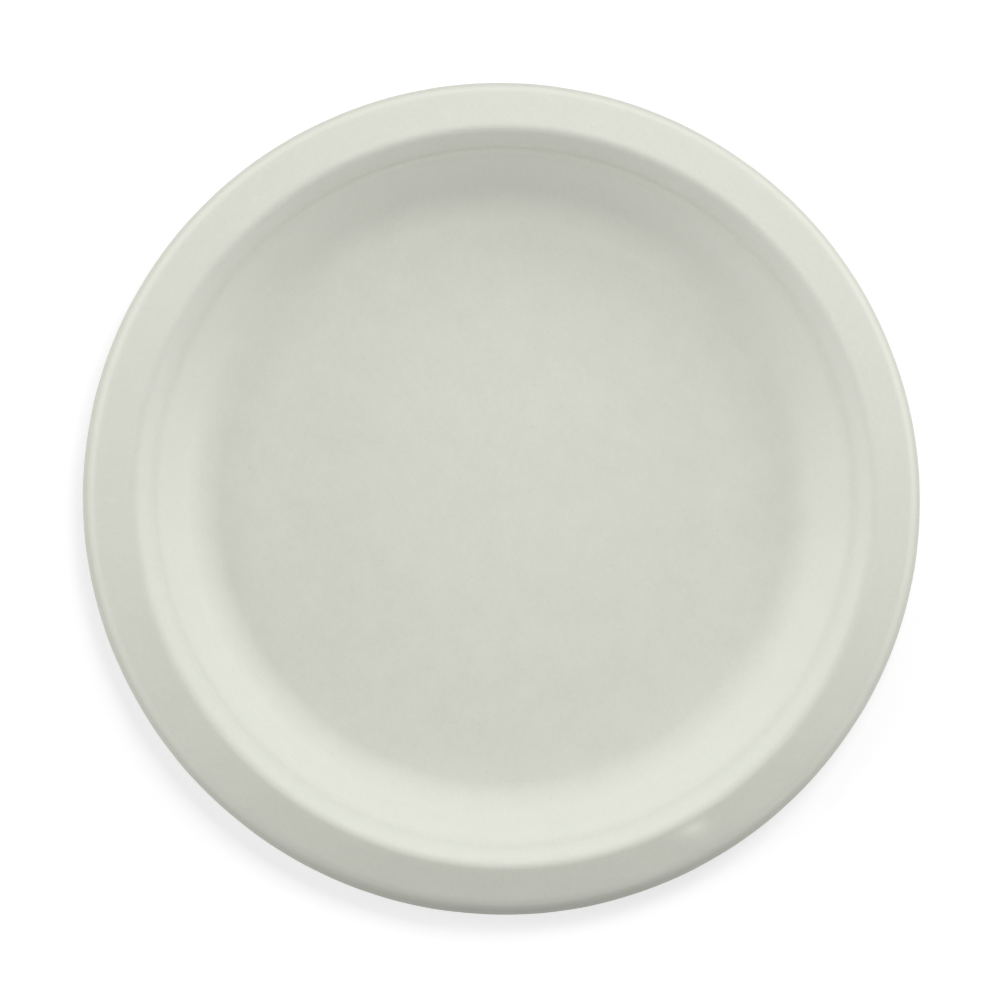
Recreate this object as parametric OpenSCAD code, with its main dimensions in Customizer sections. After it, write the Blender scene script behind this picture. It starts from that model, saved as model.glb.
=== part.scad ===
// Round plate, pressed from wet pulp as one shell of even thickness.
// Its section runs from the centre out as straights joined by tangent bends.
// Angles are slopes against level, and bend radii are those of the middle of the wall.

/* [Plate] */
// Diameter over the trimmed edge
plate_d = 228.6; // [190:0.1:270]
// Height from the surface that it stands on to the top of the crest
plate_h = 18; // [15:0.5:26]
// Thickness of the pulp wall
wall_t = 0.6; // [0.5:0.05:1.2]

/* [Well] */
// Slope of the side wall
wall_angle = 45; // [40:1:52]
// Radius of the bend from the floor to the side wall
floor_bend_r = 13.5; // [8:0.5:22]

/* [Stacking ledge] */
// Depth of the middle of the ledge and its riser below the top of the crest
ledge_drop = 4.7; // [4:0.1:6]
// Slope of the ledge, which holds the next plate of a stack off the side wall
ledge_angle = 30; // [20:1:40]
// Length of the straight stretch of the ledge
ledge_l = 0.8; // [0.2:0.1:1.5]
// Slope of the riser that leads from the ledge back to the side wall
riser_angle = 58; // [50:1:70]
// Length of the straight stretch of the riser
riser_l = 0.4; // [0.2:0.1:1]
// Radius of the bends of the ledge and the riser
ledge_bend_r = 1.6; // [0.7:0.1:2.5]

/* [Brim] */
// Width from the top of the crest to the trimmed edge
brim_w = 13.3; // [12:0.1:20]
// Slope of the brim
brim_angle = 20.5; // [15:0.5:30]
// Radius of the crest between the side wall and the brim
crest_r = 2.5; // [1.5:0.1:4]

/* [Turned-down edge] */
// Radius of the bend that turns the edge down
edge_bend_r = 4; // [2:0.1:8]
// Slope at which that bend ends
edge_angle = 62; // [50:1:85]
// Length of the straight lip below the bend
lip_l = 3.8; // [0.5:0.1:5]

/* [Hidden] */

// How far a facet of the section may stand off the true bend
chord_gap = 0.004;
// Facets round the plate
around_fn = 180;

// Levels and radii of the middle of the wall
floor_z = wall_t / 2;
crest_x = plate_d / 2 - brim_w;
crest_z = plate_h - wall_t / 2;
edge_x = plate_d / 2 - wall_t / 2 * sin(edge_angle);

// Run and rise of a bend between two slopes
function bend_run(r, from, to) = r * abs(sin(to) - sin(from));
function bend_rise(r, from, to) = r * abs(cos(to) - cos(from));

// Rise and run of the ledge and the riser with their three bends
ledge_rise = ledge_l * sin(ledge_angle) + riser_l * sin(riser_angle)
    + bend_rise(ledge_bend_r, wall_angle, ledge_angle)
    + bend_rise(ledge_bend_r, ledge_angle, riser_angle)
    + bend_rise(ledge_bend_r, riser_angle, wall_angle);
ledge_run = ledge_l * cos(ledge_angle) + riser_l * cos(riser_angle)
    + bend_run(ledge_bend_r, wall_angle, ledge_angle)
    + bend_run(ledge_bend_r, ledge_angle, riser_angle)
    + bend_run(ledge_bend_r, riser_angle, wall_angle);

// Rise that the bends leave for the side wall above and below the ledge
upper_wall_rise = ledge_drop - ledge_rise / 2 - bend_rise(crest_r, wall_angle, 0);
lower_wall_rise = crest_z - floor_z - ledge_drop - ledge_rise / 2 - bend_rise(floor_bend_r, 0, wall_angle);

// Run of the brim's straight, between the crest and the bend of the edge
brim_run = edge_x - crest_x - bend_run(crest_r, 0, brim_angle)
    - bend_run(edge_bend_r, brim_angle, edge_angle) - lip_l * cos(edge_angle);

// The flat floor takes the radius that the side wall leaves inside the crest
floor_r = crest_x - bend_run(crest_r, wall_angle, 0) - ledge_run - bend_run(floor_bend_r, 0, wall_angle)
    - (upper_wall_rise + lower_wall_rise) / tan(wall_angle);

// The section from the centre out: each stretch is [length of the straight, radius of the bend, slope after it]
section = [
    [floor_r, floor_bend_r, wall_angle],
    [lower_wall_rise / sin(wall_angle), ledge_bend_r, ledge_angle],
    [ledge_l, ledge_bend_r, riser_angle],
    [riser_l, ledge_bend_r, wall_angle],
    [upper_wall_rise / sin(wall_angle), crest_r, -brim_angle],
    [brim_run / cos(brim_angle), edge_bend_r, -edge_angle],
    [lip_l, 0, -edge_angle],
];

function along(slope) = [cos(slope), sin(slope)];
function across(slope) = [-sin(slope), cos(slope)];

// The point at which a bend that starts at p has turned from one slope to another
function on_bend(p, r, from, to) = p + sign(to - from) * r * [sin(to) - sin(from), cos(from) - cos(to)];

// Number of facets that keeps a bend within chord_gap of its arc
function bend_fn(r, turn) = turn == 0 ? 0 : ceil(abs(turn) / (2 * acos(1 - chord_gap / r)));

// Stations [point, slope] along the middle of the wall, through the stretches from number i on
function stations(p, slope, i = 0) = i == len(section) ? [[p, slope]] :
    let (
        bend_start = p + section[i][0] * along(slope),
        r = section[i][1],
        turn = section[i][2] - slope,
        n = bend_fn(r, turn)
    )
    concat(
        i == 0 ? [[p, slope]] : [],
        [for (k = [0 : 1 : n - 1]) let (s = slope + turn * k / n) [on_bend(bend_start, r, slope, s), s]],
        stations(on_bend(bend_start, r, slope, slope + turn), slope + turn, i + 1)
    );

// One face of the shell: the stations moved across the wall
function face(middle, distance) = [for (s = middle) s[0] + distance * across(s[1])];

function reversed(points) = [for (i = [len(points) - 1 : -1 : 0]) points[i]];

module shell_section() {
    middle = stations([0, floor_z], 0);
    polygon(concat(face(middle, wall_t / 2), reversed(face(middle, -wall_t / 2))));
}

module plate() {
    color("#d1d3c8")
        rotate_extrude($fn = around_fn)
            shell_section();
}

plate();
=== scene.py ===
import math

import bpy
import numpy as np
from mathutils import Matrix, Vector


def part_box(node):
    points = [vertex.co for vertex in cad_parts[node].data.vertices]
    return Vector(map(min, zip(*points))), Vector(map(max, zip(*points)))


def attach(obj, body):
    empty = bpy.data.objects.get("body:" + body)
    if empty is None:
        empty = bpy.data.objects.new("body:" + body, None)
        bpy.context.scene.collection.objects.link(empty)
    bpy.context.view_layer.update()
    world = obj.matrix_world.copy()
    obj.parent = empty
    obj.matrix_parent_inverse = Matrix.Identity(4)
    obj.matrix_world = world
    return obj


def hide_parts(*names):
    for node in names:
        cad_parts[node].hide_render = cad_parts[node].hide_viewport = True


# A round plate of moulded pulp, face up on a pale table
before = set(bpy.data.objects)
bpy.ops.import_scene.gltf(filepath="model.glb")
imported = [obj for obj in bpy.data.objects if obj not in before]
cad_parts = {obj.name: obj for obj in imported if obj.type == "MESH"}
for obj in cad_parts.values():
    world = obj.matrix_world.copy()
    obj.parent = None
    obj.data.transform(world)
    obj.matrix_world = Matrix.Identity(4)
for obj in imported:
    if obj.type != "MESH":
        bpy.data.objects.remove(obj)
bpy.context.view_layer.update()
scene = bpy.context.scene


# The camera
# It looks down on the plate from nearly straight above, from a little to the front left.
# The trimmed edge is the outline in the picture, so the aim and the lens are worked out from it.
MM = 0.001
camera_distance = 1.5
camera_lean = math.radians(7.4)
camera_bearing = math.radians(20.5)
picture_px = 1000
outline_long_px = 419.05
outline_centre_px = (501.4, 499.1)
sensor_width_mm = 36
edge_level = 9 * MM

plate_low, plate_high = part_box("plate")
plate_radius = plate_high.x
metres_per_px = plate_radius / outline_long_px

camera_back = Vector((
    -math.sin(camera_lean) * math.sin(camera_bearing),
    -math.sin(camera_lean) * math.cos(camera_bearing),
    math.cos(camera_lean),
))
picture_top = Vector((0, 1, 0))
camera_up = (picture_top - picture_top.dot(camera_back) * camera_back).normalized()
camera_right = camera_up.cross(camera_back)
# The near half of the edge looks larger, which moves the middle of its outline towards the camera's side.
outline_shift = plate_radius ** 2 * math.sin(camera_lean) * math.cos(camera_lean) / camera_distance
aim = Vector((0, 0, edge_level))
aim -= (math.sin(camera_bearing) * camera_right + math.cos(camera_bearing) * camera_up) * outline_shift
aim -= camera_right * (outline_centre_px[0] - picture_px / 2) * metres_per_px
aim += camera_up * (outline_centre_px[1] - picture_px / 2) * metres_per_px

camera_data = bpy.data.cameras.new("camera")
camera_data.sensor_width = sensor_width_mm
camera_data.lens = sensor_width_mm * camera_distance / (picture_px * metres_per_px)
camera = bpy.data.objects.new("camera", camera_data)
camera.matrix_world = Matrix((camera_right, camera_up, camera_back)).transposed().to_4x4()
camera.location = aim + camera_back * camera_distance
scene.collection.objects.link(camera)
scene.camera = camera


# The plate
# One shell of bagasse pulp, 0.6 mm thick all over, with no coating and no print.
# It is drawn wet onto a wire screen, hot-pressed between two dies and trimmed round its edge.
# The upper face takes the smooth die, and the underside keeps a faint print of the screen.
plate_d = 2 * plate_radius / MM
plate_h = plate_high.z / MM

# Lengths are in millimetres, and slopes in degrees against level, along the middle of the wall.
wall_t = 0.6
wall_angle = 45
floor_bend_r = 13.5
brim_w = 13.3
brim_angle = 20.5
crest_r = 2.5
crest_x = plate_d / 2 - brim_w
edge_bend_r = 4
edge_angle = 62
lip_l = 3.8

# Springing back from the die softens the ledge: its slopes stand nearer to the wall's than in the solid,
# and its bends are wider.
ledge_drop = 4.7
ledge_angle = 38.5
ledge_l = 0.8
riser_angle = 51
riser_l = 0.4
ledge_bend_r = 4

# How finely the shell is divided, in millimetres along its section and in steps round it
steps_around = 440
floor_step = 3.5
straight_step = 0.9
bend_step = 0.45
fewest_bend_steps = 4


def sine(slope):
    return math.sin(math.radians(slope))


def cosine(slope):
    return math.cos(math.radians(slope))


def bend_run(radius, start, end):
    return radius * abs(sine(end) - sine(start))


def bend_rise(radius, start, end):
    return radius * abs(cosine(end) - cosine(start))


def section_stretches():
    """The section from the centre out: length of a straight, radius of the next bend, slope after it."""
    ledge_slopes = [wall_angle, ledge_angle, riser_angle, wall_angle]
    ledge_rise = ledge_l * sine(ledge_angle) + riser_l * sine(riser_angle)
    ledge_run = ledge_l * cosine(ledge_angle) + riser_l * cosine(riser_angle)
    for start, end in zip(ledge_slopes, ledge_slopes[1:]):
        ledge_rise += bend_rise(ledge_bend_r, start, end)
        ledge_run += bend_run(ledge_bend_r, start, end)
    edge_x = plate_d / 2 - wall_t / 2 * sine(edge_angle)
    upper_wall_rise = ledge_drop - ledge_rise / 2 - bend_rise(crest_r, wall_angle, 0)
    lower_wall_rise = plate_h - wall_t - ledge_drop - ledge_rise / 2
    lower_wall_rise -= bend_rise(floor_bend_r, 0, wall_angle)
    wall_run = (upper_wall_rise + lower_wall_rise) / math.tan(math.radians(wall_angle))
    brim_run = edge_x - crest_x - bend_run(crest_r, 0, brim_angle)
    brim_run -= bend_run(edge_bend_r, brim_angle, edge_angle) + lip_l * cosine(edge_angle)
    floor_l = crest_x - bend_run(crest_r, wall_angle, 0) - ledge_run - wall_run
    floor_l -= bend_run(floor_bend_r, 0, wall_angle)
    return [
        (floor_l, floor_bend_r, wall_angle),
        (lower_wall_rise / sine(wall_angle), ledge_bend_r, ledge_angle),
        (ledge_l, ledge_bend_r, riser_angle),
        (riser_l, ledge_bend_r, wall_angle),
        (upper_wall_rise / sine(wall_angle), crest_r, -brim_angle),
        (brim_run / cosine(brim_angle), edge_bend_r, -edge_angle),
        (lip_l, 0, -edge_angle),
    ]


def section_stations():
    """Radius, height and slope at points along the middle of the wall, in millimetres and degrees."""
    points = []
    x, z, slope = 0.0, wall_t / 2, 0.0
    for length, radius, next_slope in section_stretches():
        steps = math.ceil(length / (straight_step if points else floor_step))
        for k in range(1, steps + 1):
            gone = length * k / steps
            points.append((x + gone * cosine(slope), z + gone * sine(slope), slope))
        x, z, slope = points[-1]
        turn = next_slope - slope
        arc = radius * math.radians(abs(turn))
        steps = max(fewest_bend_steps, math.ceil(arc / bend_step)) if turn else 0
        side = math.copysign(radius, turn)
        for k in range(1, steps + 1):
            s = slope + turn * k / steps
            points.append((x + side * (sine(s) - sine(slope)), z + side * (cosine(slope) - cosine(s)), s))
        x, z, slope = points[-1]
    return np.array(points)


middle = section_stations()
floor_r = middle[middle[:, 2] == 0][-1][0]
well = middle[middle[:, 0] < crest_x]
ledge_r = np.interp(plate_h - wall_t / 2 - ledge_drop, well[:, 1], well[:, 0])

# The shears leave the cut end a little rounded.
cut_bulge = 0.05
cut_corner_share = 0.2


def section_outline():
    """Points from the middle of the upper face out, round the cut and back under, with 1 for underneath."""
    slopes = np.radians(middle[:, 2])
    across = wall_t / 2 * np.stack([-np.sin(slopes), np.cos(slopes)], axis=1)
    upper = middle[:, :2] + across
    lower = middle[:, :2] - across
    shares = np.array([cut_corner_share, 1 - cut_corner_share])
    outwards = np.array([cosine(edge_angle), -sine(edge_angle)])
    cut = upper[-1] + shares[:, None] * (lower[-1] - upper[-1]) + cut_bulge * outwards
    outline = np.concatenate([upper, cut, lower[::-1]])
    under = np.concatenate([np.zeros(len(upper)), shares, np.ones(len(lower))])
    return outline, under


def smooth_rise(v, low, high):
    t = np.clip((v - low) / (high - low), 0, 1)
    return t * t * (3 - 2 * t)


# Painted shade darkens the colour along the crease of the ledge, over the brim, and at the end of the lip.
# A painted highlight lightens the colour round the bend of the edge, where it turns down.
# The wall's colour is painted a little less yellow, to take out the yellow of light bounced within the well.
ledge_shade_half = 1.4
ledge_shade_share = 0.8
brim_pressed_share = 0.6
edge_highlight_start, edge_highlight_full = 110.6, 112.2
cut_shade_start, cut_shade_full = 112.5, 113.4
wall_painted_tint_start, wall_painted_tint_full = 77, 87


def painted_light_marks(r):
    """How much painted shade, painted highlight and painted wall tint the colour takes at a radius."""
    # Painted shade along the crease of the ledge
    ledge_shade = np.exp(-((r - ledge_r) / ledge_shade_half) ** 2)
    beyond_crest = smooth_rise(r, crest_x - crest_r, crest_x + crest_r)
    # Painted shade at the end of the lip
    cut_shade = smooth_rise(r, cut_shade_start, cut_shade_full)
    # A painted highlight round the bend of the edge, short of the lip's end
    painted_highlight = smooth_rise(r, edge_highlight_start, edge_highlight_full) * (1 - cut_shade)
    # Painted shade over the brim
    on_brim = beyond_crest * (1 - painted_highlight) * (1 - cut_shade)
    pressed = ledge_shade_share * ledge_shade + brim_pressed_share * on_brim + cut_shade
    # The wall's painted tint, a little less yellow against the light bounced within the well
    wall_painted_tint = smooth_rise(r, wall_painted_tint_start, wall_painted_tint_full) * (1 - beyond_crest)
    return pressed, painted_highlight, wall_painted_tint


# Drying leaves the shell uneven by hundredths of a millimetre in the floor and tenths in the brim.
# Ripples run straight across, each with its own length, bearing and phase.
# The waves go round the plate, each with its number of crests and its height.
# The middle of the floor stands a little higher than its rim.
unevenness_seed = 9
rng = np.random.default_rng(unevenness_seed)
full_turn = 2 * math.pi
ripple_count = 26
ripple_shortest, ripple_longest = 12, 42
ripple_height = 0.012
ripples = rng.uniform((ripple_shortest, 0, 0), (ripple_longest, full_turn, full_turn), (ripple_count, 3))
bow_waves = [(2, 0.12), (3, 0.07), (5, 0.04)]
bow_phases = rng.uniform(0, full_turn, len(bow_waves))
floor_dome = 0.2

# The trim follows its own fine waves, and is set in so that they stay within the plate's diameter.
# The rings lie a little off its centre, and are a little longer from front to back.
trim_waves = [(7, 0.02), (12, 0.02), (19, 0.015), (31, 0.012), (53, 0.010)]
trim_phases = rng.uniform(0, full_turn, len(trim_waves))
trim_reach = 3
trim_inset = 0.05
trim_offset = (0.33, -0.44)
trim_start = 101
ring_stretch = 0.0025

# The one lump that shows lies on the brim, just outside the crest at the front right.
# It is steep on the side of the crest and runs out slowly towards the edge. A painted highlight lies on it,
# a little towards the crest.
lump_bearing = math.radians(-61)
lump_radius = 105.2
lump_height = 0.55
lump_length = 4.0
lump_inner_width, lump_outer_width = 1.8, 4.0
lump_highlight_share, lump_highlight_inset = 1.1, 0.8

# The pulp gathers into fine crinkles where the edge turns down, uneven in length and in height.
crinkle_start = 108.5
crinkle_full = 112.5
crinkle_height = 0.018
crinkles_around = 140
crinkle_wander, crinkle_wanders_around = 9, 11
crinkle_patches_around, crinkle_slant = 33, 2.2


def waves_around(theta, waves, phases):
    return sum(height * np.cos(order * theta + phase) for (order, height), phase in zip(waves, phases))


def lump_shape(r, theta):
    out = (r - lump_radius) / np.where(r < lump_radius, lump_inner_width, lump_outer_width)
    around = np.angle(np.exp(1j * (theta - lump_bearing))) * lump_radius / lump_length
    return np.exp(-out ** 2 - around ** 2)


def crinkle_shape(r, theta):
    wander = crinkle_wander * np.sin(crinkle_wanders_around * theta)
    patches = np.sin(crinkle_patches_around * theta + crinkle_slant * r)
    return smooth_rise(r, crinkle_start, crinkle_full) * np.sin(crinkles_around * theta + wander) * patches


def lift(r, theta):
    """How far the dried wall stands above the shape of the die, in millimetres."""
    x, y = r * np.cos(theta), r * np.sin(theta)
    height = floor_dome * (1 - smooth_rise(r, 0, floor_r))
    height += smooth_rise(r, floor_r, plate_d / 2) * waves_around(theta, bow_waves, bow_phases)
    for length, bearing, phase in ripples:
        along = x * math.cos(bearing) + y * math.sin(bearing)
        height += ripple_height * np.sin(full_turn * along / length + phase)
    height += lump_height * lump_shape(r, theta)
    height += crinkle_height * crinkle_shape(r, theta)
    return height


def shell_mesh():
    """The shell as one closed mesh, with marks for the underside and for painted shade, highlight and wall
    tint.
    """
    outline, under = section_outline()
    pressed, painted_highlight, wall_painted_tint = painted_light_marks(outline[:, 0])

    theta = np.linspace(0, full_turn, steps_around, endpoint=False)[:, None]
    r = outline[None, :, 0] + 0 * theta
    # The lump's painted highlight joins that of the edge
    painted_highlight = painted_highlight + lump_highlight_share * lump_shape(r + lump_highlight_inset, theta)
    z = outline[None, :, 1] + lift(r, theta)
    z_rest = -z.min()
    z += z_rest
    trim = waves_around(theta, trim_waves, trim_phases) - trim_inset
    r = r + smooth_rise(r, plate_d / 2 - trim_reach, plate_d / 2) * trim
    inside_trim = 1 - smooth_rise(r, trim_start, plate_d / 2)
    x = r * np.cos(theta) + trim_offset[0] * inside_trim
    y = r * np.sin(theta) * (1 + ring_stretch * inside_trim) + trim_offset[1] * inside_trim
    ring_points = np.stack([x, y, z], axis=-1).reshape(-1, 3)
    centre_level = z_rest + lift(np.zeros(1), np.zeros(1))[0]
    centres = [(*trim_offset, centre_level + wall_t), (*trim_offset, centre_level)]

    count = len(outline)
    top, bottom = steps_around * count, steps_around * count + 1
    faces = []
    for k in range(steps_around):
        a, b = k * count, (k + 1) % steps_around * count
        faces += [(a + i, a + i + 1, b + i + 1, b + i) for i in range(count - 1)]
        faces += [(top, a, b), (bottom, b + count - 1, a + count - 1)]
    mesh = bpy.data.meshes.new("plate_shell")
    mesh.from_pydata(np.concatenate([ring_points, centres]) * MM, [], faces)
    mesh.shade_smooth()
    sharp_angle = math.radians(35)
    mesh.set_sharp_from_angle(angle=sharp_angle)
    marks_along = {"pressed": pressed, "painted_highlight": painted_highlight, "wall_painted_tint": wall_painted_tint, "underside": under}
    for name, values in marks_along.items():
        values = np.broadcast_to(values, r.shape)
        marks = mesh.attributes.new(name, "FLOAT", "POINT")
        marks.data.foreach_set("value", np.append(values.ravel(), values[0, [0, -1]]))
    return mesh


def linear(hex_colour):
    """An sRGB hex colour as the linear values that the shaders take, fully opaque."""
    channels = [int(hex_colour[i : i + 2], 16) / 255 for i in (1, 3, 5)]
    return tuple(c / 12.92 if c <= 0.04045 else ((c + 0.055) / 1.055) ** 2.4 for c in channels) + (1.0,)


def add(tree, kind, inputs, **settings):
    """One node with its settings, and its inputs set to values or linked from other nodes' outputs."""
    node = tree.nodes.new(kind)
    for name, value in settings.items():
        setattr(node, name, value)
    for name, value in inputs.items():
        if isinstance(value, bpy.types.NodeSocket):
            tree.links.new(value, node.inputs[name])
        else:
            node.inputs[name].default_value = value
    return node


# Hot-pressed bagasse pulp: matt and off-white, a little green, with a faint cloudiness where fibres clump.
pulp_thin_colour = "#cfd1c6"
pulp_thick_colour = "#d3d5ca"
# The wall's painted tint, less yellow to take out light bounced within the well
wall_painted_tint_colour = "#d1d3cb"
# Painted shade, for the crease of the ledge, the brim and the end of the lip
pressed_colour = "#cbcdc2"
# Painted highlight, for the bend of the edge and the lump
painted_highlight_colour = "#d9dbd0"
wall_painted_tint_share = 0.5
cloud_mm = 7
fleck_mm = 1.6
clump_thin, clump_thick = 0.7, 1.3
fleck_low, fleck_high = 0.3, 0.7
pulp_roughness = (0.55, 0.65)

# Fibres are 1 to 3 mm long and 0.03 mm wide, and are drawn 0.2 mm wide so that they show at all.
# They lie along four bearings, and bend where the pulp was stirred.
fibre_colour = "#dadbd0"
fibre_share = 0.30
fibre_length_mm, fibre_width_mm = 2.2, 0.2
fibre_bearings = (12, 57, 103, 148)
fibre_faint, fibre_full = 0.60, 0.78
stir_mm = 5
stir_reach_mm = (3.5, -3.5, 3.5)

# Crumbs of pith are few, a little darker and up to 0.6 mm across.
pith_colour = "#b9b49c"
pith_share = 0.22
pith_spacing_mm = 3.2
pith_core, pith_rim = 0.05, 0.10

# The relief: sizes in millimetres, and heights as shares of a depth of 0.03 mm.
# The real grain is finer, and is drawn 0.45 mm across so that it shows at all.
relief_mm = 0.03
grain_mm = 0.45
screen_pitch_mm = 0.9
grain_relief = 0.5
fleck_relief = 0.5
fibre_relief = 0.35
screen_relief = 0.45

# Sockets of a colour mix, which share their names with others and so go by number
under_colour, over_colour, mixed_colour = 6, 7, 2


def hot_pressed_pulp():
    material = bpy.data.materials.new("hot_pressed_bagasse_pulp")
    material.use_nodes = True
    tree = material.node_tree
    tree.nodes.clear()
    where = add(tree, "ShaderNodeTexCoord", {}).outputs["Object"]
    scaled = add(tree, "ShaderNodeVectorMath", {"Vector": where, "Scale": 1 / MM}, operation="SCALE")
    mm = scaled.outputs["Vector"]
    under = add(tree, "ShaderNodeAttribute", {}, attribute_name="underside").outputs["Fac"]
    # Marks for painted shade, painted highlight and the wall's painted tint
    pressed = add(tree, "ShaderNodeAttribute", {}, attribute_name="pressed").outputs["Fac"]
    painted_highlight = add(tree, "ShaderNodeAttribute", {}, attribute_name="painted_highlight").outputs["Fac"]
    wall_painted_tint = add(tree, "ShaderNodeAttribute", {}, attribute_name="wall_painted_tint").outputs["Fac"]

    # Clumps and thin places of the pulp, then the wall's painted tint and the painted shade
    cloud = add(tree, "ShaderNodeTexNoise", {
        "Vector": mm, "Scale": 1 / cloud_mm, "Detail": 2.0, "Roughness": 0.55,
    })
    fleck = add(tree, "ShaderNodeTexNoise", {
        "Vector": mm, "Scale": 1 / fleck_mm, "Detail": 3.0, "Roughness": 0.6,
    })
    clumps = add(tree, "ShaderNodeMath", {
        0: cloud.outputs["Fac"], 1: fleck.outputs["Fac"],
    }, operation="ADD")
    thickness = add(tree, "ShaderNodeMapRange", {
        "Value": clumps.outputs["Value"], "From Min": clump_thin, "From Max": clump_thick,
    })
    clouded = add(tree, "ShaderNodeMix", {
        "Factor": thickness.outputs["Result"],
        under_colour: linear(pulp_thin_colour),
        over_colour: linear(pulp_thick_colour),
    }, data_type="RGBA")
    tint_amount = add(tree, "ShaderNodeMath", {0: wall_painted_tint, 1: wall_painted_tint_share}, operation="MULTIPLY")
    with_wall = add(tree, "ShaderNodeMix", {
        "Factor": tint_amount.outputs["Value"],
        under_colour: clouded.outputs[mixed_colour],
        over_colour: linear(wall_painted_tint_colour),
    }, data_type="RGBA")
    with_painted_shade = add(tree, "ShaderNodeMix", {
        "Factor": pressed,
        under_colour: with_wall.outputs[mixed_colour],
        over_colour: linear(pressed_colour),
    }, data_type="RGBA")

    # Single fibres, as streaks along their bearings
    stir = add(tree, "ShaderNodeTexNoise", {"Vector": mm, "Scale": 1 / stir_mm, "Detail": 0.0})
    bend = add(tree, "ShaderNodeVectorMath", {
        0: stir.outputs["Fac"], 1: stir_reach_mm,
    }, operation="MULTIPLY")
    stirring = add(tree, "ShaderNodeVectorMath", {0: mm, 1: bend.outputs["Vector"]}, operation="ADD")
    stirred = stirring.outputs["Vector"]
    fibres = 0.0
    for bearing in fibre_bearings:
        turned = add(tree, "ShaderNodeMapping", {
            "Vector": stirred,
            "Rotation": (0, 0, math.radians(bearing)),
            "Location": (bearing, 0, 0),
            "Scale": (fibre_length_mm, fibre_width_mm, fibre_length_mm),
        }, vector_type="TEXTURE")
        streak = add(tree, "ShaderNodeTexNoise", {
            "Vector": turned.outputs["Vector"], "Scale": 1.0, "Detail": 0.0,
        })
        line = add(tree, "ShaderNodeMapRange", {
            "Value": streak.outputs["Fac"], "From Min": fibre_faint, "From Max": fibre_full,
        })
        lines = add(tree, "ShaderNodeMath", {0: fibres, 1: line.outputs["Result"]}, operation="MAXIMUM")
        fibres = lines.outputs["Value"]
    showing = add(tree, "ShaderNodeMath", {0: fibres, 1: fibre_share}, operation="MULTIPLY")
    with_fibres = add(tree, "ShaderNodeMix", {
        "Factor": showing.outputs["Value"],
        under_colour: with_painted_shade.outputs[mixed_colour],
        over_colour: linear(fibre_colour),
    }, data_type="RGBA")

    # Crumbs of pith, and the painted highlight over all of it
    crumbs = add(tree, "ShaderNodeTexVoronoi", {
        "Vector": stirred, "Scale": 1 / pith_spacing_mm, "Randomness": 1.0,
    })
    crumb = add(tree, "ShaderNodeMapRange", {
        "Value": crumbs.outputs["Distance"],
        "From Min": pith_core,
        "From Max": pith_rim,
        "To Min": pith_share,
        "To Max": 0.0,
    })
    with_pith = add(tree, "ShaderNodeMix", {
        "Factor": crumb.outputs["Result"],
        under_colour: with_fibres.outputs[mixed_colour],
        over_colour: linear(pith_colour),
    }, data_type="RGBA")
    with_painted_highlight = add(tree, "ShaderNodeMix", {
        "Factor": painted_highlight,
        under_colour: with_pith.outputs[mixed_colour],
        over_colour: linear(painted_highlight_colour),
    }, data_type="RGBA")

    # The relief: the weave of the screen on the underside, fibres that lie proud, clumps, and fine grain
    split = add(tree, "ShaderNodeSeparateXYZ", {"Vector": mm})
    wires = []
    for axis in "XY":
        phase = add(tree, "ShaderNodeMath", {
            0: split.outputs[axis], 1: full_turn / screen_pitch_mm,
        }, operation="MULTIPLY")
        wire = add(tree, "ShaderNodeMath", {0: phase.outputs["Value"]}, operation="SINE")
        wires.append(wire.outputs["Value"])
    weave = add(tree, "ShaderNodeMath", {0: wires[0], 1: wires[1]}, operation="MULTIPLY")
    woven = add(tree, "ShaderNodeMath", {0: weave.outputs["Value"], 1: screen_relief}, operation="MULTIPLY")
    screen = add(tree, "ShaderNodeMath", {0: woven.outputs["Value"], 1: under}, operation="MULTIPLY")
    relief = screen.outputs["Value"]
    grain = add(tree, "ShaderNodeTexNoise", {
        "Vector": mm, "Scale": 1 / grain_mm, "Detail": 2.0, "Roughness": 0.6,
    })
    layers = [
        (fibres, fibre_relief),
        (fleck.outputs["Fac"], fleck_relief),
        (grain.outputs["Fac"], grain_relief),
    ]
    for layer, share in layers:
        raised = add(tree, "ShaderNodeMath", {0: layer, 1: share, 2: relief}, operation="MULTIPLY_ADD")
        relief = raised.outputs["Value"]
    bump = add(tree, "ShaderNodeBump", {"Height": relief, "Distance": relief_mm * MM, "Strength": 1.0})

    rough = add(tree, "ShaderNodeMapRange", {
        "Value": fleck.outputs["Fac"],
        "From Min": fleck_low,
        "From Max": fleck_high,
        "To Min": pulp_roughness[0],
        "To Max": pulp_roughness[1],
    })
    surface = add(tree, "ShaderNodeBsdfPrincipled", {
        "Base Color": with_painted_highlight.outputs[mixed_colour],
        "Roughness": rough.outputs["Result"],
        "Normal": bump.outputs["Normal"],
        "IOR": 1.5,
        "Specular IOR Level": 0.5,
        "Sheen Weight": 0.05,
        "Sheen Roughness": 0.6,
    })
    add(tree, "ShaderNodeOutputMaterial", {"Surface": surface.outputs["BSDF"]})
    return material


plate = bpy.data.objects.new("pulp_plate", shell_mesh())
plate.data.materials.append(hot_pressed_pulp())
scene.collection.objects.link(plate)
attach(plate, "root")
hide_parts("plate")


# The table
# A wide sheet of white laminate, pressed flat and smooth, on which the plate stands.
# It looks white to the camera and in reflections, and keeps a faint shadow of the plate.
# To the plate it is a dull grey, so that little light comes back up under the brim.
table_half = 3.0
table_seen_colour = "#ffffff"
table_seen_glow = 0.7
table_seen_share = 0.4
table_dull_colour = "#959595"


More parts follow.
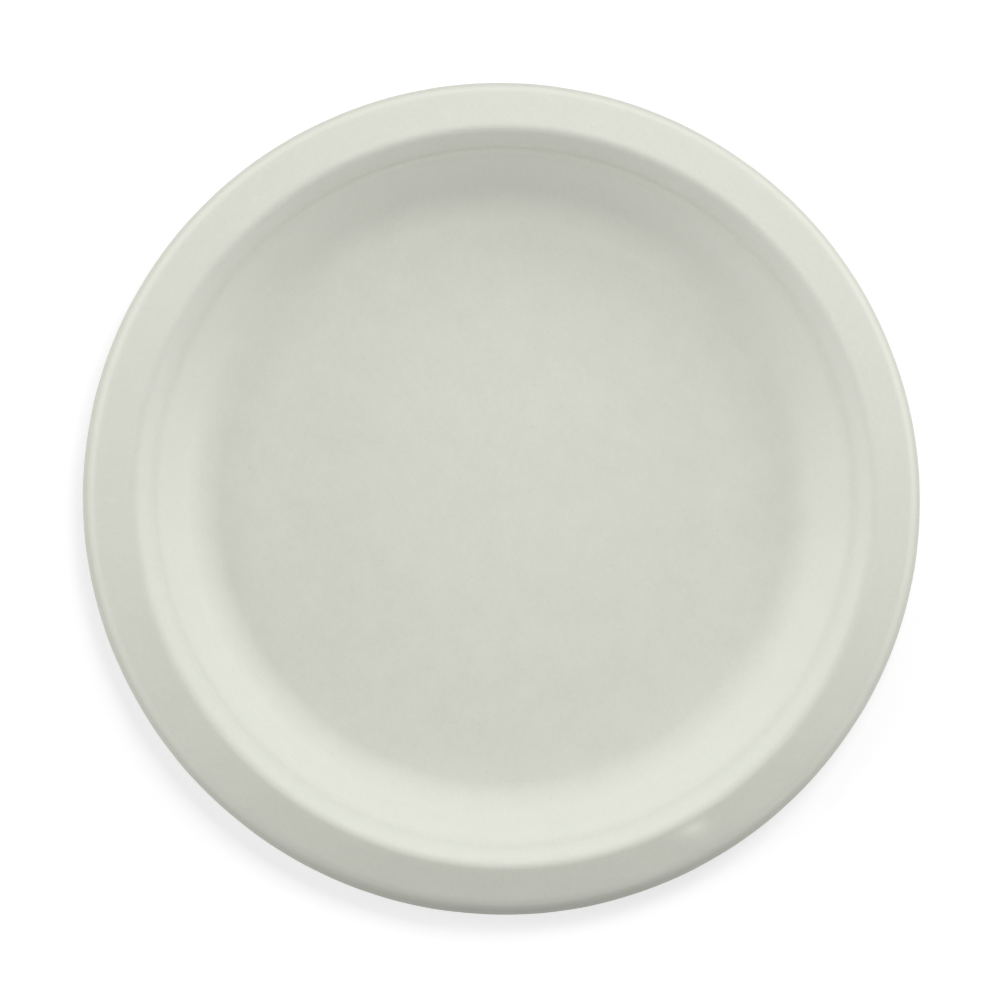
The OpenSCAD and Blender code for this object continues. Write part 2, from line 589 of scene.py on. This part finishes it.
def seen_by_camera(tree):
    """1 for what the camera sees, also in a reflection or through glass, and 0 for what lights a surface."""
    path = add(tree, "ShaderNodeLightPath", {})
    mirror = add(tree, "ShaderNodeMath", {
        0: path.outputs["Is Glossy Ray"], 1: path.outputs["Is Transmission Ray"],
    }, operation="MAXIMUM")
    seen = add(tree, "ShaderNodeMath", {
        0: path.outputs["Is Camera Ray"], 1: mirror.outputs["Value"],
    }, operation="MAXIMUM")
    return seen.outputs["Value"]


# White laminate: smooth and even, with no pattern to draw the eye from the plate.
def white_laminate():
    material = bpy.data.materials.new("white_laminate")
    material.use_nodes = True
    tree = material.node_tree
    tree.nodes.clear()
    glow = add(tree, "ShaderNodeEmission", {
        "Color": linear(table_seen_colour), "Strength": table_seen_glow,
    })
    shaded = tuple(c * table_seen_share for c in linear(table_seen_colour)[:3]) + (1.0,)
    sheet = add(tree, "ShaderNodeBsdfDiffuse", {"Color": shaded})
    bright = add(tree, "ShaderNodeAddShader", {0: glow.outputs["Emission"], 1: sheet.outputs["BSDF"]})
    dull = add(tree, "ShaderNodeBsdfDiffuse", {"Color": linear(table_dull_colour)})
    surface = add(tree, "ShaderNodeMixShader", {
        0: seen_by_camera(tree), 1: dull.outputs["BSDF"], 2: bright.outputs["Shader"],
    })
    add(tree, "ShaderNodeOutputMaterial", {"Surface": surface.outputs["Shader"]})
    return material


corner_signs = [(-1, -1), (1, -1), (1, 1), (-1, 1)]
table_corners = [(x * table_half, y * table_half, 0) for x, y in corner_signs]
table_mesh = bpy.data.meshes.new("table")
table_mesh.from_pydata(table_corners, [], [(0, 1, 2, 3)])
table_mesh.materials.append(white_laminate())
table = bpy.data.objects.new("table", table_mesh)
scene.collection.objects.link(table)


# The studio light
# Wide soft boxes stand low round the plate, from its right by the back and the left to the front.
# One higher at each side and a strong one high at the back right light the well.
lamp_distance = 2.4

# For each lamp: name, bearing and height in degrees, width and height in metres, watts
lamps = [
    ("low_right", 0, 11, 1.5, 0.6, 14.0),
    ("low_left", 160, 11, 1.5, 0.6, 15.4),
    ("low_front_left", 200, 11, 1.5, 0.6, 10.8),
    ("low_front", 280, 11, 1.5, 0.6, 10.3),
    ("low_back_right", 45, 22, 1.4, 0.7, 11.4),
    ("low_back", 90, 22, 1.4, 0.7, 12.2),
    ("right", 0, 35, 1.2, 0.9, 9.4),
    ("left", 180, 35, 1.2, 0.9, 16.6),
    ("high_back_right", 60, 62, 1.2, 0.9, 28.3),
]

for name, bearing, height, width, tall, watts in lamps:
    soft_box = bpy.data.lights.new(name, "AREA")
    soft_box.shape = "RECTANGLE"
    soft_box.size = width
    soft_box.size_y = tall
    soft_box.energy = watts
    lamp = bpy.data.objects.new(name, soft_box)
    towards = Vector((cosine(height) * cosine(bearing), cosine(height) * sine(bearing), sine(height)))
    lamp.location = towards * lamp_distance
    lamp.rotation_euler = towards.to_track_quat("Z", "Y").to_euler()
    lamp.visible_camera = False
    scene.collection.objects.link(lamp)

# The room is white to the camera and in reflections, and gives no other light.
room_colour = "#ffffff"
room = bpy.data.worlds.new("room")
room.use_nodes = True
room.node_tree.nodes.clear()
backdrop = add(room.node_tree, "ShaderNodeBackground", {
    "Color": linear(room_colour), "Strength": seen_by_camera(room.node_tree),
})
add(room.node_tree, "ShaderNodeOutputWorld", {"Surface": backdrop.outputs["Background"]})
scene.world = room

scene.view_settings.view_transform = "Standard"
